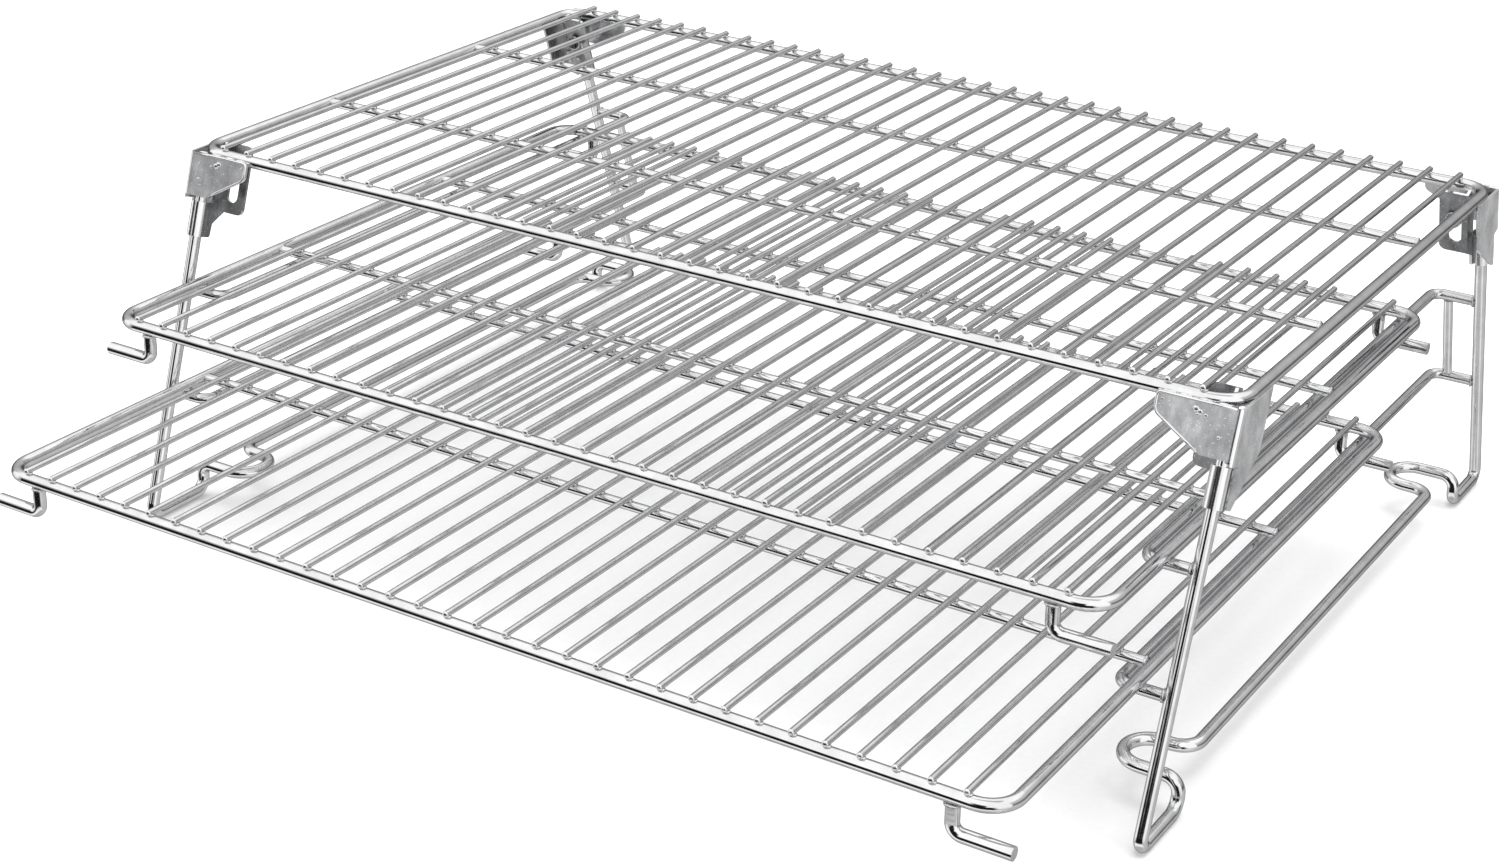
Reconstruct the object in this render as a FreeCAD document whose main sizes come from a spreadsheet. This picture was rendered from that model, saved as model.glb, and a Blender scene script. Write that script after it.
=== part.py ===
import FreeCAD, Part
import Sketcher
import math
import os

# Three-tier cooling rack: a fixed wire rack on two end leg frames that fold on pins, and two wire
# shelves that slide on the leg frames' rails. Millimetres, +X right, +Y back, +Z up. The origin is
# on the floor, in the middle of the space the whole rack takes with its shelves drawn forward.

os.makedirs("parts", exist_ok=True)
doc = FreeCAD.newDocument("cooling_rack")
V = FreeCAD.Vector
# Points nearer than this are one point, and no straight run is shorter than twice the other
SAME = 1e-4
HALF_RUN = 0.01

SIZES = [
    ("top_width", 457.2, "top rack, between the middles of its side wires"),
    ("top_depth", 260.0, "top rack, between the middles of its front and rear wires"),
    ("top_level", 154.0, "floor to the middle of the top cross wires"),
    ("top_wires", 35, "cross wires on the top rack"),
    ("shelf_wires", 33, "cross wires on each sliding shelf"),
    ("shelf_inset", 12.7, "side wire of a shelf to side wire of the top rack, seen from above"),
    ("middle_depth", 301.0, "middle shelf, between the middles of its front and rear wires"),
    ("bottom_depth", 335.0, "bottom shelf, between the middles of its front and rear wires"),
    ("middle_drawn", 47.0, "how far forward of centre the middle shelf stands at rest"),
    ("bottom_drawn", 94.0, "how far forward of centre the bottom shelf stands at rest"),
    ("top_support_y", 51.0, "middle line of the top rack to each of its two supports"),
    ("middle_support_y", 55.0, "the same on the middle shelf"),
    ("bottom_support_y", 58.0, "the same on the bottom shelf"),
    ("cross_wire", 2.4, "diameter of the cross wires"),
    ("cross_overhang", 0.9, "cross wire end past the middle of the front and rear wires"),
    ("frame_wire", 5.0, "diameter of the rack and shelf frames"),
    ("support_wire", 4.0, "diameter of the supports under the cross wires"),
    ("leg_wire", 5.0, "diameter of the leg frames"),
    ("rail_wire", 4.5, "diameter of the shelf rails"),
    ("tie_wire", 4.0, "diameter of the upright ties"),
    ("hook_wire", 5.0, "diameter of the shelf hooks"),
    ("weld_sink", 0.2, "how deep a welded wire is set into the one it crosses"),
    ("frame_bend", 11.0, "corner bend of the racks' frames, at the wire's middle"),
    ("leg_splay", 18.5, "lean of the legs from upright, in degrees"),
    ("leg_top_drop", 8.5, "top level to the upper end of a leg, along the leg"),
    ("foot_bend", 3.8, "bend of the leg at the floor"),
    ("foot_length", 32.0, "length of the foot along the floor"),
    ("step_height", 12.0, "foot to the low rail and its loops"),
    ("step_bend", 5.6, "bends of the riser between them"),
    ("loop_reach", 25.0, "how far a loop goes in from the leg"),
    ("loop_gap", 20.0, "distance between the two runs of a loop"),
    ("low_rail_inset", 4.0, "legs to the low rail, inwards"),
    ("low_rail_bend", 8.0, "bend between loop and low rail"),
    ("rail_inset", 20.0, "legs to the shelf rails, inwards"),
    ("rail_bend", 5.0, "corner bend of the shelf rails"),
    ("upper_rail_level", 95.5, "floor to the upper rail"),
    ("lower_rail_level", 54.0, "floor to the lower rail"),
    ("tie_inset", 13.5, "legs to the upright ties, inwards"),
    ("shelf_gap", 0.4, "running gap between a shelf and its rails"),
    ("hook_inset", 8.5, "rail to a hook's upright, inwards"),
    ("hook_reach", 13.4, "rail to the end of a hook, outwards"),
    ("hook_drop", 8.0, "rail to the hook that passes under it"),
    ("hook_bend", 4.0, "bend of a hook"),
    ("sheet", 1.2, "thickness of brackets and leg plates"),
    ("sheet_bend", 2.0, "outside radius of the bracket's fold"),
    ("bracket_reach", 25.8, "leg to the inner end of a bracket's top edge"),
    ("bracket_inner", 7.0, "height of the bracket's inner end"),
    ("bracket_drop", 23.0, "top level to the bottom of the end flange, along the leg"),
    ("bracket_toe", 7.0, "leg to the inner end of that bottom edge"),
    ("bracket_round", 3.0, "rounding of the end flange's inner corner"),
    ("toe_round", 1.0, "rounding of the end flange's toe"),
    ("side_drop", 39.5, "top level to the bottom of the side flange, along the leg"),
    ("side_width", 24.0, "width of the side flange at its top"),
    ("side_foot", 7.5, "front of the side flange to the back of its bottom edge"),
    ("fold_drop", 24.5, "top level to the lower end of the fold, along the leg"),
    ("side_notch", 5.9, "depth of the notch in the side flange below the fold"),
    ("side_slope", 19.0, "height of the sloping lower edge of the side flange"),
    ("side_round", 2.0, "rounding of the side flange's rear corner"),
    ("nick_round", 0.6, "rounding of its small corners"),
    ("plate_gap", 0.4, "running gap between a sleeve and the end flange"),
    ("side_play", 0.4, "gap between a sleeve and the side flange"),
    ("sleeve_gap", 0.05, "gap between a leg and the sleeve rolled on it"),
    ("sleeve_top", 25.3, "top level to the top of the sleeve, along the leg"),
    ("sleeve_length", 14.5, "length of the sleeve"),
    ("seam_gap", 0.5, "width of the open seam down the front of the sleeve"),
    ("web_step", 0.2, "sleeve's outer side to the face of the web behind it"),
    ("plate_setback", 10.0, "leg to the slotted plate, towards the middle of the rack"),
    ("plate_top", -0.3, "top level to the top of the slotted plate, along the leg"),
    ("plate_bottom", 28.8, "top level to its bottom"),
    ("web_root", 1.1, "leg to the front edge of the web, along the sleeve"),
    ("web_neck", 4.6, "rack's front wire to the front edge of the web above the sleeve, inwards"),
    ("web_front", 7.6, "rack's front wire to the front end of the web's top edge, inwards"),
    ("web_drop", 34.0, "top level to the step in the web's lower edge"),
    ("web_step_in", 5.0, "leg to that step"),
    ("web_foot", 4.5, "leg to the web's lower corner, at the bottom of the sleeve"),
    ("web_round", 1.0, "rounding of the web's inner corners"),
    ("plate_reach", 14.2, "leg to the inner edge of the slotted plate"),
    ("plate_round", 3.0, "rounding of its inner corners"),
    ("slot_wide", 5.4, "width of the slot in the plate"),
    ("slot_long", 9.6, "travel that the slot leaves the pin"),
    ("slot_play", 0.4, "how far the slot's round end stands above the pin's middle"),
    ("pin_inset", 7.6, "leg to its pin, inwards"),
    ("pin_drop", 15.0, "top level to the pins"),
    ("pin_wide", 4.2, "diameter of a pin"),
    ("head_gap", 0.5, "gap between the slotted plate and the pin's head"),
    ("pin_head", 6.8, "diameter of a pin's peened head"),
    ("pin_head_thick", 1.4, "thickness of that head"),
    ("head_round", 0.6, "rounding of its rim"),
    ("pin_skin", 0.08, "sheet left outside the pin's root"),
]

sheet = doc.addObject("Spreadsheet::Sheet", "sizes")
for row, (name, value, note) in enumerate(SIZES, start=1):
    sheet.set("A%d" % row, name)
    sheet.set("B%d" % row, str(value))
    sheet.set("C%d" % row, note)
    sheet.setAlias("B%d" % row, name)
doc.recompute()


def size(name):
    return float(sheet.get(name))


def expr(text):
    """An expression over the sheet's names, from a plain formula such as "top_width / 2"."""
    words = text.replace("(", " ( ").replace(")", " ) ").split()
    known = set(entry[0] for entry in SIZES)
    return " ".join("sizes." + word if word in known else word for word in words)


# Levels, leans and places that follow from the sizes
splay = math.radians(size("leg_splay"))
foot_z = size("leg_wire") / 2
loop_z = foot_z + size("step_height")
top_frame_z = size("top_level") - (size("cross_wire") + size("frame_wire")) / 2 + size("weld_sink")

# A bracket's flanges are welded to the outside of the top frame, and the sleeve on the leg stands
# clear of both: that places the leg
sleeve_outer = size("leg_wire") / 2 + size("sleeve_gap") + size("sheet")
weld_reach = size("frame_wire") / 2 - size("weld_sink")
frame_drop = size("top_level") - top_frame_z
leg_x = size("top_width") / 2 + weld_reach - size("side_play") - sleeve_outer
flange_reach = sleeve_outer + size("plate_gap")
leg_inset = (flange_reach - weld_reach + frame_drop * math.sin(splay)) / math.cos(splay)
leg_top_y = size("top_depth") / 2 - leg_inset
rail_x = leg_x - size("rail_inset")
hook_x = rail_x - size("hook_inset")
pin_x = leg_x - size("pin_inset")
pin_z = size("top_level") - size("pin_drop")


def leg_y(level):
    """Distance of a leg's line from the middle of the rack, at a level above the floor."""
    return leg_top_y + (size("top_level") - level) * math.tan(splay)


foot_y = leg_y(foot_z)
riser_y = foot_y - size("foot_length")
low_rail_y = riser_y - size("loop_gap")
# The foot's bend keeps the wire inside the point where leg and foot would meet
foot_corner = (math.pi / 2 - splay) / 2
rear_reach = foot_y - size("foot_bend") * (1 / math.tan(foot_corner) - 1) + size("leg_wire") / 2
front_reach = size("bottom_drawn") + (size("bottom_depth") + size("frame_wire")) / 2
mid_y = (front_reach - rear_reach) / 2


def turn_to(direction):
    return FreeCAD.Rotation(V(0, 0, 1), direction)


def rod(name, diameter, start, end):
    """A straight round wire between two points."""
    bar = doc.addObject("Part::Cylinder", name)
    bar.setExpression("Radius", expr(diameter + " / 2"))
    bar.Height = (end - start).Length
    bar.Placement = FreeCAD.Placement(start, turn_to(end - start))
    return bar


def attach(sketch, body, role, offset=0.0):
    for plane in body.Origin.OriginFeatures:
        if plane.Role == role:
            sketch.AttachmentSupport = [(plane, "")]
    sketch.MapMode = "FlatFace"
    sketch.AttachmentOffset = FreeCAD.Placement(V(0, 0, offset), FreeCAD.Rotation())


def corner_arc(before, corner, after, radius):
    """Start, middle and end of the bend that rounds a corner, and its centre."""
    back = (before - corner).normalize()
    ahead = (after - corner).normalize()
    half = back.getAngle(ahead) / 2
    start = corner + back * (radius / math.tan(half))
    end = corner + ahead * (radius / math.tan(half))
    inward = (back + ahead).normalize()
    centre = corner + inward * (radius / math.sin(half))
    return start, centre - inward * radius, end, centre


def bent_path(points, radii):
    """Lines and arcs of an open line through points, each inner corner rounded with its own radius."""
    pieces = []
    last = points[0]
    for index, radius in enumerate(radii):
        start, middle, end, _ = corner_arc(points[index], points[index + 1], points[index + 2], radius)
        if (start - last).Length > SAME:
            pieces.append(Part.LineSegment(last, start))
        pieces.append(Part.Arc(start, middle, end))
        last = end
    pieces.append(Part.LineSegment(last, points[-1]))
    return pieces


def every_edge(path):
    return ["Edge%d" % (index + 1) for index in range(len(path.Shape.Edges))]


def wire_along(body, path, diameter, plane, offset, x, y):
    """Sweeps the round section of a wire along its path; the section is drawn where the path starts."""
    section = body.newObject("Sketcher::SketchObject", body.Name + "_section")
    attach(section, body, plane, offset)
    circle = section.addGeometry(Part.Circle(V(x, y, 0), V(0, 0, 1), size(diameter) / 2), False)
    number = section.addConstraint(Sketcher.Constraint("Diameter", circle, size(diameter)))
    section.renameConstraint(number, "wire")
    section.setExpression("Constraints.wire", expr(diameter))
    doc.recompute()
    pipe = body.newObject("PartDesign::AdditivePipe", body.Name + "_pipe")
    pipe.Profile = section
    pipe.Spine = (path, every_edge(path))
    doc.recompute()


def new_path(name, plane):
    """A body and the empty sketch for its wire's path."""
    body = doc.addObject("PartDesign::Body", name)
    path = body.newObject("Sketcher::SketchObject", name + "_path")
    attach(path, body, plane)
    return body, path


def frame_body(name, width, half_width, depth, y, z):
    """A closed wire frame with round corners, lying flat."""
    body, path = new_path(name, "XY_Plane")
    bend = size("frame_bend")
    half_depth = size(depth) / 2
    points = [V(-half_width, -half_depth, 0), V(half_width, -half_depth, 0),
              V(half_width, half_depth, 0), V(-half_width, half_depth, 0)]
    count = len(points)
    bends = []
    for index, point in enumerate(points):
        bends.append(corner_arc(points[index - 1], point, points[(index + 1) % count], bend))
    lines = []
    for index, (_, _, end, _) in enumerate(bends):
        following = bends[(index + 1) % count][0]
        lines.append(path.addGeometry(Part.LineSegment(end, following), False))
    arcs = []
    for start, middle, end, _ in bends:
        arcs.append(path.addGeometry(Part.Arc(start, middle, end), False))
    # Front and rear runs lie across at half the depth, side runs along at half the width
    for index, line in enumerate(lines):
        across = index % 2 == 0
        kind = "DistanceY" if across else "DistanceX"
        path.addConstraint(Sketcher.Constraint("Horizontal" if across else "Vertical", line))
        distance = half_depth if across else half_width
        if index in (1, 2):
            ends = (-1, 1, line, 1)
        else:
            ends = (line, 1, -1, 1)
        number = path.addConstraint(Sketcher.Constraint(kind, *ends, distance))
        path.renameConstraint(number, "run_%d" % (index + 1))
        formula = "(" + (depth if across else width) + ") / 2"
        path.setExpression("Constraints.run_%d" % (index + 1), expr(formula))
    for index, arc in enumerate(arcs):
        at_start = (path.Geometry[arc].StartPoint - bends[index][0]).Length < SAME
        first, second = (1, 2) if at_start else (2, 1)
        path.addConstraint(Sketcher.Constraint("Tangent", lines[index - 1], 2, arc, first))
        path.addConstraint(Sketcher.Constraint("Tangent", arc, second, lines[index], 1))
        number = path.addConstraint(Sketcher.Constraint("Radius", arc, bend))
        path.renameConstraint(number, "bend_%d" % (index + 1))
        path.setExpression("Constraints.bend_%d" % (index + 1), expr("frame_bend"))
    wire_along(body, path, "frame_wire", "YZ_Plane", bend - half_width, -half_depth, 0)
    body.Placement = FreeCAD.Placement(V(0, y, z), FreeCAD.Rotation())
    return body


def cross_wires(name, count, half_width, half_depth, y, z):
    """Straight wires from front to back, evenly spread between the side wires."""
    pitch = 2 * half_width / (count + 1)
    reach = half_depth + size("cross_overhang")
    wires = []
    for index in range(count):
        x = -half_width + pitch * (index + 1)
        start, end = V(x, y - reach, z), V(x, y + reach, z)
        wires.append(rod("%s_%d" % (name[:-1], index + 1), "cross_wire", start, end))
    group = doc.addObject("Part::Compound", name)
    group.Links = wires
    return group


def flat_rack(name, width, half_width, depth, wires, support_y, y, frame_z):
    """Frame, two supports and the cross wires that lie on them."""
    half_depth = size(depth) / 2
    nodes = [frame_body(name + "_frame", width, half_width, depth, y, frame_z)]
    wire_z = frame_z + (size("cross_wire") + size("frame_wire")) / 2 - size("weld_sink")
    bar_z = wire_z - (size("cross_wire") + size("support_wire")) / 2 + size("weld_sink")
    # The ends meet the side wires a little above their middle, where the side wires are narrower
    rise = bar_z - frame_z
    end = half_width - math.sqrt((size("frame_wire") / 2) ** 2 - rise ** 2) + size("weld_sink")
    for side, sign in (("front", -1), ("rear", 1)):
        bar_y = y + sign * size(support_y)
        nodes.append(rod("%s_%s_support" % (name, side), "support_wire",
                         V(-end, bar_y, bar_z), V(end, bar_y, bar_z)))
    count = int(size(wires))
    nodes.append(cross_wires(name + "_cross_wires", count, half_width, half_depth, y, wire_z))
    return nodes


def mirrored(name, source, base, normal):
    copy = doc.addObject("Part::Mirroring", name)
    copy.Source = source
    copy.Base = base
    copy.Normal = normal
    return copy


def at_four_corners(make, name, y):
    """One piece at the front right corner and its mirror images at the other three."""
    across, along = V(0, 0, 0), V(0, y, 0)
    front_right = make("front_right_" + name)
    front_left = mirrored("front_left_" + name, front_right, across, V(1, 0, 0))
    rear_right = mirrored("rear_right_" + name, front_right, along, V(0, 1, 0))
    rear_left = mirrored("rear_left_" + name, front_left, along, V(0, 1, 0))
    return [front_right, front_left, rear_right, rear_left]


nodes = []

# Top rack
top_half = size("top_width") / 2
nodes += flat_rack("top", "top_width", top_half, "top_depth", "top_wires", "top_support_y", mid_y,
                   top_frame_z)

# Sliding shelves, each resting on its pair of rails
shelf_half = top_half - size("shelf_inset")
rest = (size("rail_wire") + size("frame_wire")) / 2 + size("shelf_gap")


def hook_maker(shelf_y, depth, rail_z, frame_z):
    """An L-shaped hook under the front right corner: down past the rail, then out under it."""
    def make(name):
        top = frame_z - size("frame_wire") / 2 + size("weld_sink")
        arm = rail_z - size("hook_drop")
        y = shelf_y - size(depth) / 2
        points = [V(0, top - arm, 0), V(0, 0, 0), V(size("hook_inset") + size("hook_reach"), 0, 0)]
        body, path = new_path(name, "XZ_Plane")
        for piece in bent_path(points, [size("hook_bend")]):
            path.addGeometry(piece, False)
        wire_along(body, path, "hook_wire", "XY_Plane", top - arm, 0, 0)
        body.Placement = FreeCAD.Placement(V(hook_x, y, arm), FreeCAD.Rotation())
        return body
    return make


for shelf, rail_level in (("middle", "upper_rail_level"), ("bottom", "lower_rail_level")):
    shelf_y = mid_y - size(shelf + "_drawn")
    frame_z = size(rail_level) + rest
    nodes += flat_rack(shelf, "top_width - 2 * shelf_inset", shelf_half, shelf + "_depth", "shelf_wires",
                       shelf + "_support_y", shelf_y, frame_z)
    nodes += at_four_corners(hook_maker(shelf_y, shelf + "_depth", size(rail_level), frame_z),
                             shelf + "_hook", shelf_y)


# Leg frames: each is one wire, from a rear leg down to its foot, up a step, round a loop, along
# the low rail and back up the front leg the same way
def leg_frame(name):
    leg, low = leg_x, leg_x - size("low_rail_inset")
    loop = leg - size("loop_reach")
    drop = size("leg_top_drop")
    top = V(leg, -leg_top_y - drop * math.sin(splay), size("top_level") - drop * math.cos(splay))
    front = [top, V(leg, -foot_y, foot_z), V(leg, -riser_y, foot_z), V(leg, -riser_y, loop_z),
             V(loop, -riser_y, loop_z), V(loop, -low_rail_y, loop_z), V(low, -low_rail_y, loop_z)]
    points = front + [V(p.x, -p.y, p.z) for p in reversed(front)]
    points = [p + V(0, mid_y, 0) for p in points]
    turn = size("loop_gap") / 2 - HALF_RUN
    bends = [size("foot_bend"), size("step_bend"), size("step_bend"), turn, turn, size("low_rail_bend")]
    path = doc.addObject("Part::Feature", name + "_path")
    bent = bent_path(points, bends + list(reversed(bends)))
    path.Shape = Part.Wire([piece.toShape() for piece in bent])
    ring = doc.addObject("Part::Circle", name + "_section")
    ring.setExpression("Radius", expr("leg_wire / 2"))
    ring.Placement = FreeCAD.Placement(points[0], turn_to(points[1] - points[0]))
    doc.recompute()
    wire = doc.addObject("Part::Sweep", name)
    wire.Sections = [ring]
    wire.Spine = (path, every_edge(path))
    wire.Solid = True
    return wire


right_leg = leg_frame("right_leg_wire")
nodes += [right_leg, mirrored("left_leg_wire", right_leg, V(0, 0, 0), V(1, 0, 0))]


# Shelf rails: U-shaped wires whose two ends are welded to the legs
def shelf_rail(name, rail_level):
    z = size(rail_level)
    y = leg_y(z)
    x_end = leg_x - size("leg_wire") / 2 + size("weld_sink")
    points = [V(x_end, -y, 0), V(rail_x, -y, 0), V(rail_x, y, 0), V(x_end, y, 0)]
    body, path = new_path(name, "XY_Plane")
    for piece in bent_path(points, [size("rail_bend"), size("rail_bend")]):
        path.addGeometry(piece, False)
    wire_along(body, path, "rail_wire", "YZ_Plane", x_end, -y, 0)
    body.Placement = FreeCAD.Placement(V(0, mid_y, z), FreeCAD.Rotation())
    return body


for level in ("upper", "lower"):
    right_rail = shelf_rail("right_%s_rail" % level, level + "_rail_level")
    nodes += [right_rail, mirrored("left_%s_rail" % level, right_rail, V(0, 0, 0), V(1, 0, 0))]

# Upright ties between the rear ends of the rails, where a shelf stops when it is pushed home
low, high = size("lower_rail_level"), size("upper_rail_level")
tie_x = leg_x - size("tie_inset")
low_end = V(tie_x, mid_y + leg_y(low), low)
high_end = V(tie_x, mid_y + leg_y(high), high)
along_leg = (high_end - low_end).normalize()
setback = size("rail_wire") / 2 - size("weld_sink")
right_tie = rod("right_tie", "tie_wire", low_end + along_leg * setback, high_end - along_leg * setback)
nodes += [right_tie, mirrored("left_tie", right_tie, V(0, 0, 0), V(1, 0, 0))]

# The corner fittings are drawn upright around the leg and leaned with it: x out from the leg, y
# towards the middle of the rack, z up along the leg from the top level
corner = FreeCAD.Placement(V(leg_x, mid_y - leg_top_y, size("top_level")),
                           FreeCAD.Rotation(V(1, 0, 0), -size("leg_splay")))
flange_inner = -flange_reach
flange_outer = flange_inner - size("sheet")
side_inner = sleeve_outer + size("side_play")
side_outer = side_inner + size("sheet")


def leaned(y, drop):
    """Height in the leaned axes of a level that lies drop below the top level, at y."""
    return (y * math.sin(splay) - drop) / math.cos(splay)


def level_y(y, drop):
    """The same point's distance from the leg's upper end, measured level."""
    return y / math.cos(splay) - drop * math.tan(splay)


def outline(sketch, corners):
    """A closed outline through corners, each (x, y, rounding)."""
    points = [V(x, y, 0) for x, y, _ in corners]
    count = len(points)
    bends = []
    for index, (_, _, radius) in enumerate(corners):
        if radius > 0:
            following = points[(index + 1) % count]
            bends.append(corner_arc(points[index - 1], points[index], following, radius))
        else:
            bends.append((points[index], None, points[index], None))
    for index, (start, middle, end, _) in enumerate(bends):
        if middle is not None:
            sketch.addGeometry(Part.Arc(start, middle, end), False)
        sketch.addGeometry(Part.LineSegment(end, bends[(index + 1) % count][0]), False)


def sheet_pad(body, name, plane, offset, corners, slot=None):
    """A flat piece of sheet drawn in one plane of a body."""
    drawing = body.newObject("Sketcher::SketchObject", name + "_outline")
    attach(drawing, body, plane, offset)
    outline(drawing, corners)
    if slot:
        x, high, low, half = slot
        left, right = x - half, x + half
        drawing.addGeometry(Part.Arc(V(left, high, 0), V(x, high + half, 0), V(right, high, 0)), False)
        drawing.addGeometry(Part.LineSegment(V(right, high, 0), V(right, low, 0)), False)
        drawing.addGeometry(Part.Arc(V(right, low, 0), V(x, low - half, 0), V(left, low, 0)), False)
        drawing.addGeometry(Part.LineSegment(V(left, low, 0), V(left, high, 0)), False)
    doc.recompute()
    pad = body.newObject("PartDesign::Pad", name)
    pad.Profile = drawing
    pad.setExpression("Length", expr("sheet"))
    doc.recompute()
    return pad


def bracket(name):
    """Sheet bracket folded round the corner: an end flange, and a side flange that stops the leg."""
    body = doc.addObject("PartDesign::Body", name)
    top = leaned(flange_inner, frame_drop)
    bottom = -size("bracket_drop")
    reach = -size("bracket_reach")
    sheet_pad(body, name + "_end", "XZ_Plane", -flange_inner,
              [(reach, top, 0),
               (side_outer, top, 0),
               (side_outer, bottom, 0),
               (-size("bracket_toe"), bottom, size("toe_round")),
               (reach, top - size("bracket_inner"), size("bracket_round"))])
    front, back = flange_outer, flange_outer + size("side_width")
    low, fold_low = -size("side_drop"), -size("fold_drop")
    notch = front + size("side_notch")
    # The sketch plane's own axes are y and z, and the sheet is padded outwards from its inner face
    sheet_pad(body, name + "_side", "YZ_Plane", side_inner,
              [(front, leaned(front, frame_drop), 0),
               (back, leaned(back, frame_drop), 0),
               (back, low + size("side_slope"), size("side_round")),
               (front + size("side_foot"), low, size("nick_round")),
               (notch, low, 0),
               (notch, fold_low, size("nick_round")),
               (front, fold_low, 0)])
    fold = []
    for index, edge in enumerate(body.Shape.Edges):
        ends = [vertex.Point for vertex in edge.Vertexes]
        if all(abs(p.x - side_outer) < SAME and abs(p.y - front) < SAME for p in ends):
            fold.append("Edge%d" % (index + 1))
    bend = body.newObject("PartDesign::Fillet", name + "_fold")
    bend.Base = (body.Group[-2], fold)
    bend.setExpression("Radius", expr("sheet_bend"))
    body.Placement = corner
    doc.recompute()
    return body


def leg_plate(name):
    """Sheet plate rolled round the leg as a sleeve, carried back, and turned in as a slotted plate."""
    body = doc.addObject("PartDesign::Body", name)
    bore = size("leg_wire") / 2 + size("sleeve_gap")
    setback, reach = size("plate_setback"), size("plate_reach")
    top, bottom = -size("plate_top"), -size("plate_bottom")
    sleeve_low = -size("sleeve_top") - size("sleeve_length")
    ring = body.newObject("Sketcher::SketchObject", name + "_sleeve_outline")
    attach(ring, body, "XY_Plane", sleeve_low)
    seam_edges = []
    for radius in (sleeve_outer, bore):
        half = math.asin(size("seam_gap") / 2 / radius)
        circle = Part.Circle(V(0, 0, 0), V(0, 0, 1), radius)
        ring.addGeometry(Part.ArcOfCircle(circle, -math.pi / 2 + half, 1.5 * math.pi - half), False)
        seam_edges.append(math.sqrt(radius ** 2 - (size("seam_gap") / 2) ** 2))
    for x in (-size("seam_gap") / 2, size("seam_gap") / 2):
        ring.addGeometry(Part.LineSegment(V(x, -seam_edges[0], 0), V(x, -seam_edges[1], 0)), False)
    doc.recompute()
    sleeve = body.newObject("PartDesign::Pad", name + "_sleeve")
    sleeve.Profile = ring
    sleeve.setExpression("Length", expr("sleeve_length"))
    doc.recompute()
    web_x = size("web_step") - sleeve_outer
    back = setback + size("sheet")
    wire_side = size("frame_wire") / 2 - leg_inset
    sheet_pad(body, name + "_web", "YZ_Plane", web_x,
              [(size("web_root"), -size("sleeve_top"), 0),
               (wire_side + size("web_neck"), -size("sleeve_top"), size("web_round")),
               (wire_side + size("web_neck"), -size("leg_top_drop"), 0),
               (wire_side + size("web_front"), top, 0),
               (back, top, 0),
               (back, bottom, 0),
               (size("web_step_in"), -size("web_drop"), size("web_round")),
               (size("web_foot"), sleeve_low, size("web_round")),
               (size("web_root"), sleeve_low, 0)])
    slot_x = -size("pin_inset")
    high = leaned(setback + size("sheet") / 2, size("pin_drop")) + size("slot_play")
    sheet_pad(body, name + "_slotted", "XZ_Plane", -back,
              [(web_x, top, 0), (-reach, top, size("plate_round")), (-reach, bottom, size("plate_round")),
               (web_x, bottom, 0)],
              (slot_x, high, high - size("slot_long"), size("slot_wide") / 2))
    body.Placement = corner
    doc.recompute()
    return body


def pin(name):
    """Pin welded to the end flange, level along Y, with a peened head inside the slotted plate."""
    body = doc.addObject("PartDesign::Body", name)
    half = body.newObject("Sketcher::SketchObject", name + "_outline")
    attach(half, body, "XY_Plane")
    # The pin starts inside the thickness of the leaning flange and its head clears the slotted plate
    shank, head = size("pin_wide") / 2, size("pin_head") / 2
    root = level_y(flange_outer, size("pin_drop") - shank) + size("pin_skin")
    plate = level_y(size("plate_setback") + size("sheet"), size("pin_drop") - head)
    neck = plate + size("head_gap") - root
    end = neck + size("pin_head_thick")
    outline(half, [(0, 0, 0), (shank, 0, 0), (shank, neck, 0), (head, neck, 0),
                   (head, end, size("head_round")), (0, end, 0)])
    doc.recompute()
    turned = body.newObject("PartDesign::Revolution", name + "_turned")
    turned.Profile = half
    turned.ReferenceAxis = (half, ["V_Axis"])
    turned.Angle = 360
    body.Placement = FreeCAD.Placement(V(pin_x, mid_y - leg_top_y + root, pin_z), FreeCAD.Rotation())
    doc.recompute()
    return body


nodes += at_four_corners(bracket, "bracket", mid_y)
nodes += at_four_corners(leg_plate, "leg_plate", mid_y)
nodes += at_four_corners(pin, "pin", mid_y)

doc.recompute()

# Nothing is written unless every object and every solid is sound
for item in doc.Objects:
    for word in ("Invalid", "Error"):
        if word in item.State:
            raise RuntimeError("%s is %s" % (item.Name, item.State))
for node in nodes:
    shape = node.Shape
    if shape.isNull() or not shape.isValid() or not shape.Solids:
        raise RuntimeError("%s has no sound solid" % node.Label)
for node in nodes:
    node.Shape.exportStep(os.path.join("parts", node.Label + ".step"))
print("wrote %d parts; middle line %.3f, pin line %.3f, %.3f" % (len(nodes), mid_y, pin_x, pin_z))
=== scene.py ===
import math

import bmesh
import bpy
from mathutils import Matrix, Vector, noise


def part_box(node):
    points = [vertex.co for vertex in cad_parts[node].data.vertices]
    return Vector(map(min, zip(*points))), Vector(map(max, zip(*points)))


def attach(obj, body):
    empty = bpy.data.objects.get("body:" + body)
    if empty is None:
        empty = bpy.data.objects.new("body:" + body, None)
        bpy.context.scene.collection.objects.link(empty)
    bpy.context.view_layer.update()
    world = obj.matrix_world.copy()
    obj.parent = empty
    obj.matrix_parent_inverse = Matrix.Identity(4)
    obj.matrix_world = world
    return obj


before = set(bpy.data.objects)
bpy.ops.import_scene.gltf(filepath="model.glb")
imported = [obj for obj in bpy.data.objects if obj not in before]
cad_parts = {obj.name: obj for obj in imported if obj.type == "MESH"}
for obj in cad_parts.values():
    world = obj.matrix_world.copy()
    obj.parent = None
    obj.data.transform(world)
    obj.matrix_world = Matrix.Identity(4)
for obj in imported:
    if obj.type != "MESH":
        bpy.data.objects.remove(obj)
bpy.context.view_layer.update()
scene = bpy.context.scene
MM = 0.001
LEG_SPLAY = math.radians(18.5)


# ---------------------------------------------------------------- nodes

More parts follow.
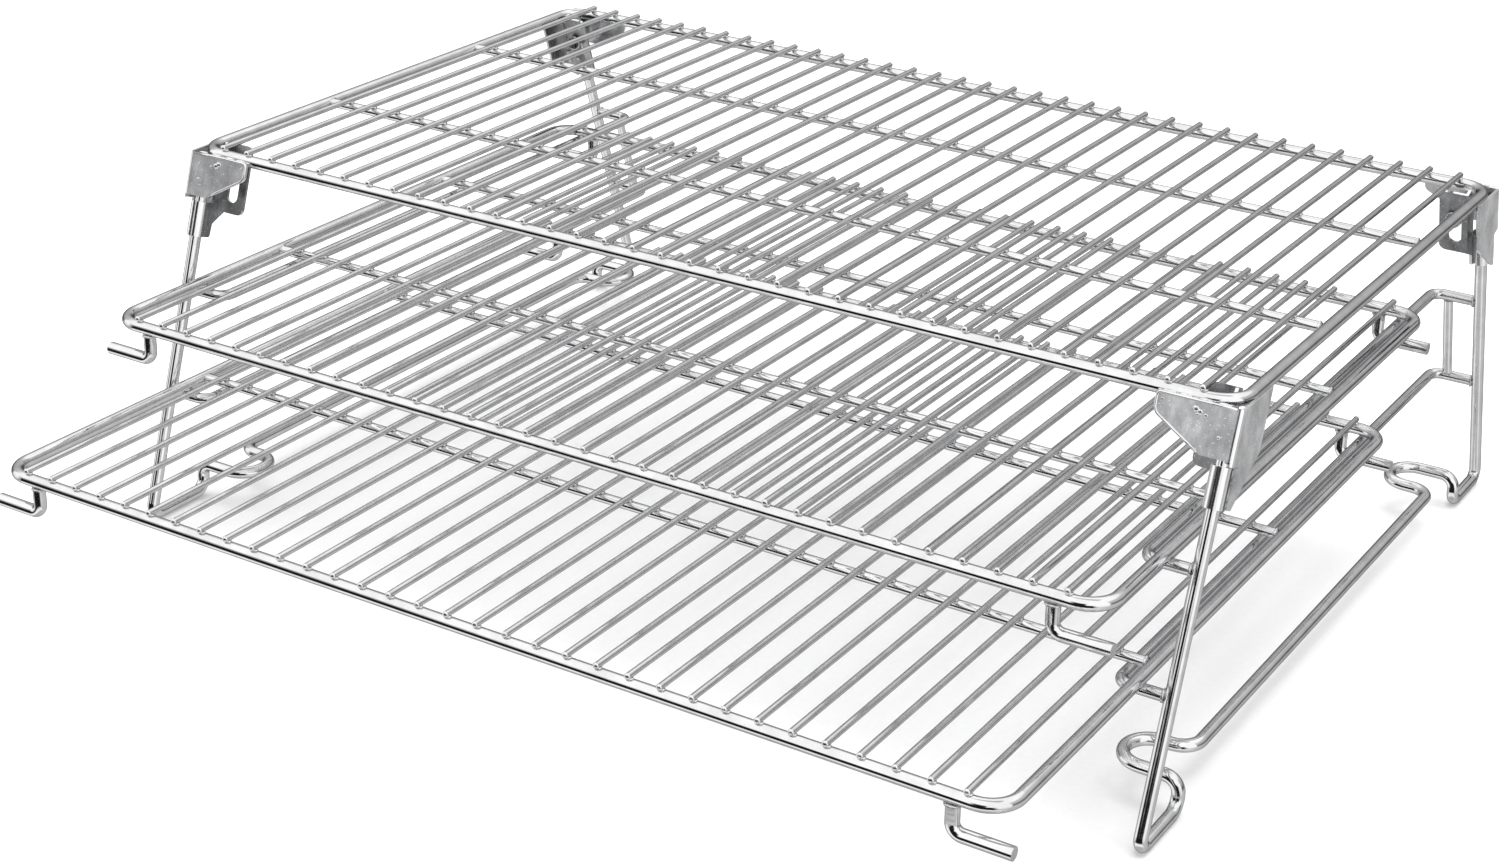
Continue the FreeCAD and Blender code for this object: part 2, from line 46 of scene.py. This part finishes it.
def mix_node(tree, factor, first, second):
    """The first colour where the factor is 0, the second where it is 1."""
    node = tree.nodes.new("ShaderNodeMix")
    node.data_type = "RGBA"
    tree.links.new(factor, node.inputs["Factor"])
    tree.links.new(first, node.inputs["A"])
    tree.links.new(second, node.inputs["B"])
    return node.outputs["Result"]


def mix_shaders(tree, factor, first, second, output):
    """The first shader where the factor is 0, the second where it is 1, as the output's surface."""
    node = tree.nodes.new("ShaderNodeMixShader")
    tree.links.new(factor, node.inputs["Fac"])
    tree.links.new(first, node.inputs[1])
    tree.links.new(second, node.inputs[2])
    tree.links.new(node.outputs["Shader"], output.inputs["Surface"])


def noise_node(tree, coords, scale, detail, roughness, stretch=None):
    """A noise texture, its pattern drawn out along an axis where stretch is given."""
    node = tree.nodes.new("ShaderNodeTexNoise")
    node.inputs["Scale"].default_value = scale
    node.inputs["Detail"].default_value = detail
    node.inputs["Roughness"].default_value = roughness
    source = coords
    if stretch:
        mapping = tree.nodes.new("ShaderNodeMapping")
        mapping.inputs["Scale"].default_value = stretch
        tree.links.new(coords, mapping.inputs["Vector"])
        source = mapping.outputs["Vector"]
    tree.links.new(source, node.inputs["Vector"])
    return node.outputs["Fac"]


def ramp_node(tree, value, stops):
    """A colour ramp through (position, grey or colour) stops."""
    node = tree.nodes.new("ShaderNodeValToRGB")
    ramp = node.color_ramp
    while len(ramp.elements) < len(stops):
        ramp.elements.new(0.5)
    for element, (position, tone) in zip(ramp.elements, stops):
        element.position = position
        element.color = (tone, tone, tone, 1) if isinstance(tone, float) else (*tone, 1)
    tree.links.new(value, node.inputs["Fac"])
    return node.outputs["Color"]


def bump_node(tree, height, strength, distance):
    node = tree.nodes.new("ShaderNodeBump")
    node.inputs["Strength"].default_value = strength
    node.inputs["Distance"].default_value = distance
    tree.links.new(height, node.inputs["Height"])
    return node.outputs["Normal"]


def math_node(tree, operation, *values):
    """A Math node on sockets and plain numbers."""
    node = tree.nodes.new("ShaderNodeMath")
    node.operation = operation
    for socket, value in zip(node.inputs, values):
        if isinstance(value, float):
            socket.default_value = value
        else:
            tree.links.new(value, socket)
    return node.outputs["Value"]


# ---------------------------------------------------------------- materials

# How much light the plating throws back where it turns away
EDGE_TINT = (0.45, 0.45, 0.46, 1)
# Patterns on a wire are drawn out along it
ALONG_X, ALONG_Y, ALONG_Z = (0.05, 1, 1), (1, 0.05, 1), (1, 1, 0.05)
# Base colours of a wire where its plating is thin and where it is full, as parts of its tone
THIN_PLATING, FULL_PLATING = (0.86, 0.86, 0.87), (1, 1, 1.005)
# Zinc is a little blue
BLUISH = (1, 1.008, 1.025)
# How far a flat face's direction may be off and still count as flat, on side and end flanges
SIDE_TOLERANCE, END_TOLERANCE = 0.03, 0.018


def new_material(name):
    """An empty node material with its object coordinates, output and a Principled shader."""
    material = bpy.data.materials.new(name)
    material.use_nodes = True
    tree = material.node_tree
    tree.nodes.clear()
    output = tree.nodes.new("ShaderNodeOutputMaterial")
    shader = tree.nodes.new("ShaderNodeBsdfPrincipled")
    tree.links.new(shader.outputs["BSDF"], output.inputs["Surface"])
    coords = tree.nodes.new("ShaderNodeTexCoord").outputs["Object"]
    return material, tree, coords, shader, output


def scaled(factor, parts):
    return tuple(factor * part for part in parts)


def chrome(name, tone, low, high, stretch):
    """Plated wire: bright, with faint die lines along the wire and patches of thinner plating."""
    material, tree, coords, shader, _ = new_material(name)
    shader.inputs["Metallic"].default_value = 1.0
    shader.inputs["Specular Tint"].default_value = EDGE_TINT
    patches = noise_node(tree, coords, scale=110.0, detail=3.0, roughness=0.6)
    colour = ramp_node(tree, patches, [(0.30, scaled(tone, THIN_PLATING)),
                                       (0.62, scaled(tone, FULL_PLATING))])
    tree.links.new(colour, shader.inputs["Base Color"])
    lines = noise_node(tree, coords, scale=900.0, detail=2.0, roughness=0.5, stretch=stretch)
    gloss = ramp_node(tree, lines, [(0.35, low), (0.70, high)])
    tree.links.new(gloss, shader.inputs["Roughness"])
    waves = noise_node(tree, coords, scale=260.0, detail=2.0, roughness=0.5, stretch=stretch)
    bump = bump_node(tree, waves, strength=0.5, distance=0.06 * MM)
    tree.links.new(bump, shader.inputs["Normal"])
    return material


def zinc(name, dull, middle, bright):
    """Plated sheet: satin, mottled, with fine upright rolling lines, small bright specks and a
    painted highlight on the cut edges and the fold.
    """
    material, tree, coords, shader, output = new_material(name)
    shader.inputs["Metallic"].default_value = 1.0
    mottle = noise_node(tree, coords, scale=120.0, detail=5.0, roughness=0.6,
                        stretch=(1.0, 1.0, 0.7))
    colour = ramp_node(tree, mottle, [(0.32, scaled(dull, BLUISH)), (0.50, scaled(middle, BLUISH)),
                                      (0.70, scaled(bright, BLUISH))])
    streaks = noise_node(tree, coords, scale=420.0, detail=3.0, roughness=0.6,
                         stretch=(1.0, 1.0, 0.12))
    gloss = ramp_node(tree, streaks, [(0.30, 0.24), (0.72, 0.36)])
    tree.links.new(gloss, shader.inputs["Roughness"])
    specks = noise_node(tree, coords, scale=1500.0, detail=1.0, roughness=0.4)
    sparkle = ramp_node(tree, specks, [(0.66, 0.0), (0.72, 0.35)])
    mix = tree.nodes.new("ShaderNodeMix")
    mix.data_type = "RGBA"
    mix.blend_type = "ADD"
    mix.inputs["Factor"].default_value = 1.0
    tree.links.new(colour, mix.inputs["A"])
    tree.links.new(sparkle, mix.inputs["B"])
    tree.links.new(mix.outputs["Result"], shader.inputs["Base Color"])
    dents = noise_node(tree, coords, scale=200.0, detail=3.0, roughness=0.5)
    bump = bump_node(tree, dents, strength=0.2, distance=0.25 * MM)
    tree.links.new(bump, shader.inputs["Normal"])

    # The cut edges and the fold get a brighter, glossier metal than the faces: a painted highlight
    # along them; the flanges' faces look along X or lean from Y
    edge_highlight_metal = tree.nodes.new("ShaderNodeBsdfPrincipled")
    edge_highlight_metal.inputs["Metallic"].default_value = 1.0
    edge_highlight_metal.inputs["Roughness"].default_value = 0.16
    edge_highlight_tone = ramp_node(tree, mottle, [(0.3, 0.88), (0.7, 0.97)])
    tree.links.new(edge_highlight_tone, edge_highlight_metal.inputs["Base Color"])
    facing = tree.nodes.new("ShaderNodeSeparateXYZ")
    normal = tree.nodes.new("ShaderNodeTexCoord").outputs["Normal"]
    tree.links.new(normal, facing.inputs["Vector"])
    across, along = (math_node(tree, "ABSOLUTE", facing.outputs[axis]) for axis in "XY")
    on_side = math_node(tree, "COMPARE", across, 1.0, SIDE_TOLERANCE)
    on_end = math_node(tree, "COMPARE", along, math.cos(LEG_SPLAY), END_TOLERANCE)
    flat = math_node(tree, "MAXIMUM", on_side, on_end)
    mix_shaders(tree, flat, edge_highlight_metal.outputs["BSDF"], shader.outputs["BSDF"], output)
    return material


def weld_metal(name, dull, bright):
    """Plated weld: bright and slightly rough, with a rippled skin."""
    material, tree, coords, shader, _ = new_material(name)
    shader.inputs["Metallic"].default_value = 1.0
    grain = noise_node(tree, coords, scale=700.0, detail=3.0, roughness=0.6)
    colour = ramp_node(tree, grain, [(0.32, dull), (0.66, bright)])
    gloss = ramp_node(tree, grain, [(0.30, 0.16), (0.70, 0.34)])
    bump = bump_node(tree, grain, strength=0.5, distance=0.2 * MM)
    tree.links.new(colour, shader.inputs["Base Color"])
    tree.links.new(gloss, shader.inputs["Roughness"])
    tree.links.new(bump, shader.inputs["Normal"])
    return material


def floor_paper(name):
    """Pale seamless paper. Mirrored rays pass it, so that the wires show the studio instead."""
    material, tree, coords, shader, output = new_material(name)
    fibres = noise_node(tree, coords, scale=400.0, detail=4.0, roughness=0.6)
    colour = ramp_node(tree, fibres, [(0.3, 0.90), (0.7, 0.93)])
    tree.links.new(colour, shader.inputs["Base Color"])
    shader.inputs["Roughness"].default_value = 0.85
    shader.inputs["Specular IOR Level"].default_value = 0.2
    clear = tree.nodes.new("ShaderNodeBsdfTransparent").outputs["BSDF"]
    mirrored = tree.nodes.new("ShaderNodeLightPath").outputs["Is Glossy Ray"]
    mix_shaders(tree, mirrored, shader.outputs["BSDF"], clear, output)
    return material


wire_x = chrome("chrome_wire_along_x", 0.86, 0.05, 0.13, ALONG_X)
wire_y = chrome("chrome_wire_along_y", 0.78, 0.08, 0.20, ALONG_Y)
wire_z = chrome("chrome_wire_upright", 0.86, 0.05, 0.12, ALONG_Z)
# The flanges' edge beads are shape, and their brighter chrome is a painted highlight along the edges
rim = chrome("rim_painted_highlight", 0.95, 0.12, 0.24, ALONG_Z)
sheet = zinc("zinc_plated_sheet", 0.46, 0.60, 0.80)
# The leg plates get a darker copy of the same zinc plating: painted shade
shaded_sheet = zinc("zinc_sheet_painted_shade", 0.20, 0.28, 0.42)
weld = weld_metal("plated_weld", 0.42, 0.78)
weld_bright = weld_metal("bright_weld", 0.78, 0.97)

# The material of a node by how its name ends; the other nodes are wires along X
MATERIALS = {"bracket": sheet, "leg_plate": shaded_sheet, "pin": weld, "cross_wires": wire_y,
             "rail": wire_y, "leg_wire": wire_z, "tie": wire_z}

for name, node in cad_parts.items():
    material = next((made for end, made in MATERIALS.items() if name.endswith(end)), wire_x)
    if not node.material_slots:
        node.data.materials.append(material)
    for slot in node.material_slots:
        slot.material = material


# ---------------------------------------------------------------- welds and rims

# Distance between cross wires, and each rack's body and number of cross wires
PITCH = 12.7 * MM
RACKS = {"top": ("top_rack", 35), "middle": ("middle_shelf", 33), "bottom": ("bottom_shelf", 33)}
CORNERS = [(end, side) for end in ("front", "rear") for side in ("right", "left")]
HOOK = 5.0 * MM
RAIL = 4.5 * MM
TIE = 4.0 * MM
# Half sizes of the welds along X, Y and Z, in millimetres
WIRE_CAP = (1.3, 0.75, 1.3)
WIRE_END = (1.7, 1.3, 0.5)
CROSSING = (1.7, 1.5, 0.6)
HOOK_RING = (3.1, 3.0, 0.9)
SUPPORT_END = (0.9, 2.5, 2.3)
RAIL_END = (0.9, 2.9, 2.9)
TIE_END = (2.4, 2.4, 0.9)
BEAD = (2.6, 0.7, 0.7)
# How uneven a weld is, and the smoother cap of a wire
ROUGH, CAP_ROUGH = 0.16, 0.08
# First seeds of that unevenness
SEEDS = {"hook": 5, "support_end": 11, "rail_end": 17, "tie_end": 23, "spatter": 31, "bead": 81}
# A cross wire's end to its weld, inwards and down from the wire's middle
WIRE_END_IN, WIRE_END_DOWN = 1.2 * MM, 1.1 * MM
# Middle of the other welds: above a support, in from its end, and in from the face of a hook,
# rail or tie
CROSSING_RISE, SUPPORT_END_IN, WELD_IN = 0.05 * MM, 0.5 * MM, 0.4 * MM
# Distances from a bracket's outer edge to the beads along its top, in millimetres, how far below
# the top they lie, and how far towards the rack
BEADS = (7.0, 14.0, 21.0, 27.0)
BEAD_DEPTH = 0.1
BEAD_IN = 0.6 * MM
# Lumps on an end flange: distance from its outer edge, depth below its top, and size, in millimetres
SPATTER = [(16.4, 3.2, 1.4), (14.9, 3.9, 1.2), (15.6, 4.9, 0.8), (12.6, 4.6, 0.8), (28.6, 2.6, 0.6),
           (6.8, 10.4, 0.8), (8.2, 12.6, 0.5), (29.4, 4.6, 0.5), (6.0, 4.2, 0.5)]
SPATTER_SHAPE = (1, 0.45, 1)
# Height of an end flange from its top edge down to the lower end of the fold
FLANGE_HEIGHT = 18.3 * MM
# The pressed edge of an end flange in the same two distances: along the top, down the inner end
# and along the slope to the toe, with bends between them given by start, corner and end
RIM = 0.6 * MM
RIM_TOP = [(2.4, 0.4), (12.0, 0.4), (22.0, 0.4), (29.5, 0.4)]
RIM_TOP_BEND = ((29.5, 0.4), (30.7, 0.4), (30.7, 1.8))
RIM_END = [(30.7, 3.4)]
RIM_END_BEND = ((30.7, 4.4), (30.7, 6.6), (28.9, 7.7))
RIM_SLOPE = [(24.0, 10.4), (18.0, 13.7), (13.2, 16.4)]


def nugget(bm, centre, half_sizes, seed, rough=ROUGH):
    """A small lump of metal in a mesh: round, squashed to its half sizes and uneven."""
    made = bmesh.ops.create_icosphere(bm, subdivisions=2, radius=1.0)
    for vertex in made["verts"]:
        direction = vertex.co.normalized()
        swell = 1 + rough * noise.noise(direction * 1.7 + Vector((seed, 2 * seed, 3 * seed)))
        vertex.co = centre + Vector([part * half * MM * swell
                                     for part, half in zip(direction, half_sizes)])


def mesh_piece(name, body, material, build):
    """A new smooth mesh object filled by build(bm), riding on a body."""
    bm = bmesh.new()
    build(bm)
    mesh = bpy.data.meshes.new(name)
    bm.to_mesh(mesh)
    bm.free()
    for polygon in mesh.polygons:
        polygon.use_smooth = True
    mesh.materials.append(material)
    piece = bpy.data.objects.new(name, mesh)
    scene.collection.objects.link(piece)
    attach(piece, body)


def middle_of(low, high):
    return (low + high) / 2


def wire_places(count):
    """Where a rack's cross wires stand along X."""
    return [(i - (count - 1) / 2) * PITCH for i in range(count)]


def wire_end_welds(level, count):
    """Caps on the ends of the cross wires, and welds between them and the frame below."""
    def build(bm):
        low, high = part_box(level + "_cross_wires")
        z = middle_of(low[2], high[2])
        for i, x in enumerate(wire_places(count)):
            for inwards, y in ((1, low[1]), (-1, high[1])):
                seed = i + inwards * 0.3 + count
                nugget(bm, Vector((x, y, z)), WIRE_CAP, seed, CAP_ROUGH)
                centre = Vector((x, y + inwards * WIRE_END_IN, z - WIRE_END_DOWN))
                nugget(bm, centre, WIRE_END, seed)
    return build


def support_welds(level, count):
    """Welds where the cross wires lie on the two supports."""
    def build(bm):
        supports = [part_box("%s_%s_support" % (level, end)) for end in ("front", "rear")]
        for i, x in enumerate(wire_places(count)):
            for k, (low, high) in enumerate(supports):
                centre = Vector((x, middle_of(low[1], high[1]), high[2] + CROSSING_RISE))
                nugget(bm, centre, CROSSING, i + 0.37 * k + 2 * count)
    return build


def support_end_welds(level):
    """Welds where the supports meet the side wires."""
    def build(bm):
        for k, end in enumerate(("front", "rear")):
            low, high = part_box("%s_%s_support" % (level, end))
            for j, x in enumerate((low[0] + SUPPORT_END_IN, high[0] - SUPPORT_END_IN)):
                centre = Vector((x, middle_of(low[1], high[1]), middle_of(low[2], high[2])))
                nugget(bm, centre, SUPPORT_END, SEEDS["support_end"] + 2 * k + j)
    return build


def hook_welds(level):
    """Rings of weld where the hooks' uprights meet the shelf frame."""
    def build(bm):
        for k, side in enumerate(("right", "left")):
            for j, end in enumerate(("front", "rear")):
                low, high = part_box("%s_%s_%s_hook" % (end, side, level))
                x = low[0] + HOOK / 2 if side == "right" else high[0] - HOOK / 2
                centre = Vector((x, middle_of(low[1], high[1]), high[2] - WELD_IN))
                nugget(bm, centre, HOOK_RING, SEEDS["hook"] + 2 * k + j)
    return build


def leg_welds(side):
    """Welds of the rails' ends on the legs, and of the tie's ends on the rails."""
    outer, inwards = (1, -1) if side == "right" else (0, 1)

    def build(bm):
        for k, level in enumerate(("upper", "lower")):
            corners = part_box("%s_%s_rail" % (side, level))
            z = middle_of(corners[0][2], corners[1][2])
            x = corners[outer][0] + inwards * WELD_IN
            for j, y in enumerate((corners[0][1] + RAIL / 2, corners[1][1] - RAIL / 2)):
                nugget(bm, Vector((x, y, z)), RAIL_END, SEEDS["rail_end"] + 2 * k + j)
        low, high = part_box(side + "_tie")
        x = middle_of(low[0], high[0])
        ends = ((high[1] - TIE / 2, low[2] + WELD_IN), (low[1] + TIE / 2, high[2] - WELD_IN))
        for j, (y, z) in enumerate(ends):
            nugget(bm, Vector((x, y, z)), TIE_END, SEEDS["tie_end"] + j)
    return build


def flange_point(end, side, inset, depth):
    """A point on an end flange: millimetres in from its outer edge and down from its top edge."""
    low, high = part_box("%s_%s_bracket" % (end, side))
    x = high[0] - inset * MM if side == "right" else low[0] + inset * MM
    # The face leans outwards as it goes down, and stands furthest out at the fold's lower end
    lean = (FLANGE_HEIGHT - depth * MM) * math.tan(LEG_SPLAY)
    y = low[1] + lean if end == "front" else high[1] - lean
    return Vector((x, y, high[2] - depth * MM))


def bracket_welds(bm):
    """Beads between the brackets and the rack's wires, and spatter on the end flanges."""
    for k, (end, side) in enumerate(CORNERS):
        for i, (inset, depth, lump) in enumerate(SPATTER):
            nugget(bm, flange_point(end, side, inset, depth), scaled(lump, SPATTER_SHAPE),
                   SEEDS["spatter"] + len(SPATTER) * k + i)
        towards_rack = BEAD_IN if end == "front" else -BEAD_IN
        for i, inset in enumerate(BEADS):
            centre = flange_point(end, side, inset, BEAD_DEPTH) + Vector((0, towards_rack, 0))
            nugget(bm, centre, BEAD, SEEDS["bead"] + len(BEADS) * k + i)


def tube(bm, points, radius, sides=8):
    """A round bead along a line of points."""
    rings = []
    for index, point in enumerate(points):
        along = (points[min(index + 1, len(points) - 1)] - points[max(index - 1, 0)]).normalized()
        across = along.cross(Vector((0, 1, 0))).normalized()
        over = along.cross(across)
        angles = [2 * math.pi * k / sides for k in range(sides)]
        rings.append([bm.verts.new(point + radius * (math.cos(a) * across + math.sin(a) * over))
                      for a in angles])
    for first, second in zip(rings, rings[1:]):
        for k in range(sides):
            after = (k + 1) % sides
            bm.faces.new((first[k], first[after], second[after], second[k]))
    bm.faces.new(rings[0])
    bm.faces.new(list(reversed(rings[-1])))
    bmesh.ops.recalc_face_normals(bm, faces=bm.faces)


def rounded(start, corner, end, steps=5):
    """Points of a bend from start to end that is drawn towards corner, without the start."""
    points = []
    for k in range(1, steps + 1):
        t = k / steps
        parts = ((1 - t) ** 2, 2 * t * (1 - t), t ** 2)
        points.append(tuple(sum(part * point[i] for part, point in zip(parts, (start, corner, end)))
                            for i in range(2)))
    return points


def bracket_rims(bm):
    """The pressed edge of each end flange, in a brighter chrome than the sheet that paints the
    highlight along it.
    """
    outline = RIM_TOP + rounded(*RIM_TOP_BEND) + RIM_END + rounded(*RIM_END_BEND) + RIM_SLOPE
    for end, side in CORNERS:
        tube(bm, [flange_point(end, side, inset, depth) for inset, depth in outline], RIM)


for level, (body, count) in RACKS.items():
    mesh_piece(level + "_wire_end_welds", body, weld_bright,
               wire_end_welds(level, count))
    mesh_piece(level + "_support_welds", body, wire_y, support_welds(level, count))
for level in ("middle", "bottom"):
    mesh_piece(level + "_hook_welds", RACKS[level][0], weld, hook_welds(level))
for level, (body, _) in RACKS.items():
    mesh_piece(level + "_support_end_welds", body, wire_x, support_end_welds(level))
for side in ("right", "left"):
    mesh_piece(side + "_leg_frame_welds", side + "_leg_frame", weld, leg_welds(side))
mesh_piece("bracket_welds", "top_rack", weld_bright, bracket_welds)
mesh_piece("bracket_rims", "top_rack", rim, bracket_rims)


# ---------------------------------------------------------------- floor

FLOOR_HALF = 5.0
bm = bmesh.new()
bm.faces.new([bm.verts.new((x * FLOOR_HALF, y * FLOOR_HALF, 0))
              for x, y in ((-1, -1), (1, -1), (1, 1), (-1, 1))])
mesh = bpy.data.meshes.new("floor")
bm.to_mesh(mesh)
bm.free()
mesh.materials.append(floor_paper("pale_paper"))
floor = bpy.data.objects.new("floor", mesh)
scene.collection.objects.link(floor)


# ---------------------------------------------------------------- studio

# What the metal mirrors, as tones from straight down (-1) to straight up (1). Behind the rack it is
# grey, with a dark horizon, and white above. In front the floor and the room beyond it are dark up
# to the horizon, and higher in the gap between two white screens, which stand to the left and
# right. Straight up is grey again, so that the wires stay darker than the floor seen from above.
FLOOR_TONES = [(-1.0, 0.42), (-0.82, 0.45), (-0.74, 0.9), (-0.58, 0.9), (-0.50, 0.01)]
TOP_TONES = [(0.93, 1.0), (0.96, 0.5)]
BACK = [(-1.0, 0.52), (-0.25, 0.52), (-0.08, 0.14), (0.06, 0.12), (0.20, 0.42), (0.55, 0.55),
        (0.70, 1.0)] + TOP_TONES
FRONT = FLOOR_TONES + [(0.04, 0.01), (0.09, 0.8), (0.20, 1.0)]
GAP = FLOOR_TONES + [(0.38, 0.01), (0.48, 0.9), (0.60, 1.0)]
LEFT = FLOOR_TONES + [(0.04, 0.01), (0.09, 0.30), (0.24, 0.45), (0.38, 1.0)]
SIDES = [(-1.0, 0.42), (-0.60, 0.45), (-0.30, 0.8), (0.0, 1.0)] + TOP_TONES
# The front half from LEFT on to the right, and last its far left: where each part's tones begin
# and where they are full, along X
FRONT_PARTS = [(-0.58, -0.44, FRONT), (-0.26, -0.14, GAP), (0.30, 0.42, FRONT), (0.62, 0.78, SIDES),
               (-0.74, -0.86, SIDES)]
# The change from the back to the front half, along Y
BACK_END, FRONT_START = 0.02, -0.10
MIRRORED_STRENGTH = 1.15
PALE = (0.95, 0.95, 0.95, 1)

world = bpy.data.worlds.new("studio")
world.use_nodes = True
scene.world = world
tree = world.node_tree
tree.nodes.clear()
world_out = tree.nodes.new("ShaderNodeOutputWorld")
coords = tree.nodes.new("ShaderNodeTexCoord").outputs["Generated"]
split = tree.nodes.new("ShaderNodeSeparateXYZ")
tree.links.new(coords, split.inputs["Vector"])


def map_range(value, low, high):
    """0 at low and beyond, 1 at high and beyond; low may be the greater."""
    node = tree.nodes.new("ShaderNodeMapRange")
    node.inputs["From Min"].default_value = low
    node.inputs["From Max"].default_value = high
    tree.links.new(value, node.inputs["Value"])
    return node.outputs["Result"]


height = map_range(split.outputs["Z"], -1.0, 1.0)


def studio_tones(stops):
    return ramp_node(tree, height, [((level + 1) / 2, tone) for level, tone in stops])


in_front = studio_tones(LEFT)
for begins, full, tones in FRONT_PARTS:
    part = map_range(split.outputs["X"], begins, full)
    in_front = mix_node(tree, part, in_front, studio_tones(tones))
front_half = map_range(split.outputs["Y"], BACK_END, FRONT_START)
whole = mix_node(tree, front_half, studio_tones(BACK), in_front)
mirrored = tree.nodes.new("ShaderNodeBackground")
mirrored.inputs["Strength"].default_value = MIRRORED_STRENGTH
tree.links.new(whole, mirrored.inputs["Color"])
plain = tree.nodes.new("ShaderNodeBackground")
plain.inputs["Color"].default_value = PALE
glossy = tree.nodes.new("ShaderNodeLightPath").outputs["Is Glossy Ray"]
mix_shaders(tree, glossy, plain.outputs["Background"], mirrored.outputs["Background"], world_out)
world.cycles.sampling_method = "NONE"


def softbox(name, place, target, width, height, power):
    """A rectangular area light that isn't mirrored, since thin wires would drown in its glare."""
    light = bpy.data.lights.new(name, "AREA")
    light.shape = "RECTANGLE"
    light.size = width
    light.size_y = height
    light.energy = power
    lamp = bpy.data.objects.new(name, light)
    scene.collection.objects.link(lamp)
    lamp.location = place
    aim = Vector(target) - Vector(place)
    lamp.rotation_euler = aim.to_track_quat("-Z", "Y").to_euler()
    lamp.visible_glossy = False


softbox("overhead", (0.1, 0.1, 2.4), (0, 0, 0), width=2.4, height=2.0, power=50)
softbox("left", (-2.3, -0.5, 0.8), (0, 0, 0.1), width=1.5, height=1.5, power=14)
softbox("right", (2.2, -0.5, 0.6), (0, 0, 0.1), width=1.2, height=1.3, power=10)


# ---------------------------------------------------------------- camera

AZIMUTH, ELEVATION, ROLL = (math.radians(angle) for angle in (31.86, 24.38, 1.03))
TARGET = Vector((0.10722, -0.193435, 0.154))
DISTANCE = 0.83035
SENSOR, LENS = 36, 62.602
SHIFT_X, SHIFT_Y = -0.002327, -0.008427

outward = Vector((math.sin(AZIMUTH) * math.cos(ELEVATION), -math.cos(AZIMUTH) * math.cos(ELEVATION),
                  math.sin(ELEVATION)))
side = (-outward).cross(Vector((0, 0, 1))).normalized()
up = outward.cross(side)
right = math.cos(ROLL) * side + math.sin(ROLL) * up
above = -math.sin(ROLL) * side + math.cos(ROLL) * up
camera_data = bpy.data.cameras.new("camera")
camera_data.sensor_fit = "HORIZONTAL"
camera_data.sensor_width = SENSOR
camera_data.lens = LENS
camera_data.shift_x = SHIFT_X
camera_data.shift_y = SHIFT_Y
camera = bpy.data.objects.new("camera", camera_data)
scene.collection.objects.link(camera)
axes = Matrix((right, above, outward)).transposed().to_4x4()
camera.matrix_world = Matrix.Translation(TARGET + DISTANCE * outward) @ axes
scene.camera = camera
scene.view_settings.view_transform = "Standard"
scene.view_settings.exposure = 0.0
